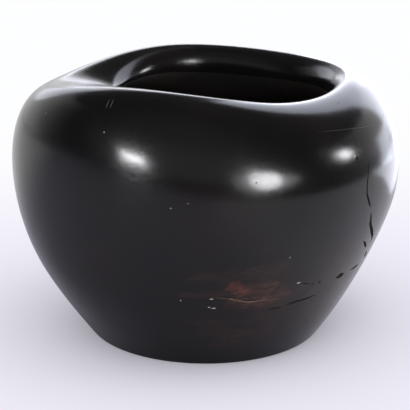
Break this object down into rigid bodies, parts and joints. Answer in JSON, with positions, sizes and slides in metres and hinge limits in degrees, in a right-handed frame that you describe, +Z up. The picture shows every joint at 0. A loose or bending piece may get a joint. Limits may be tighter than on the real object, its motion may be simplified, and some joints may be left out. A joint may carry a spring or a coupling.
{
  "type": "hollow bowl",
  "caption": "Free-form hollow bowl carved from one block of dark wood, with a wavy rolled rim, an inward lip and a flat foot.",
  "frame": {"origin": "on the flat of the foot, under the middle of the belly", "axes": "+Z up, -Y towards the front, +X to the right of someone who faces the front"},
  "size_m": [0.2487, 0.254, 0.1765],
  "materials": {
    "blackened_wood": "blackened and polished to a soft gloss, worn to red-brown wood low on the front, with open drying checks"
  },
  "bodies": {
    "root": {"bowl": "blackened_wood"}
  },
  "joints": []
}
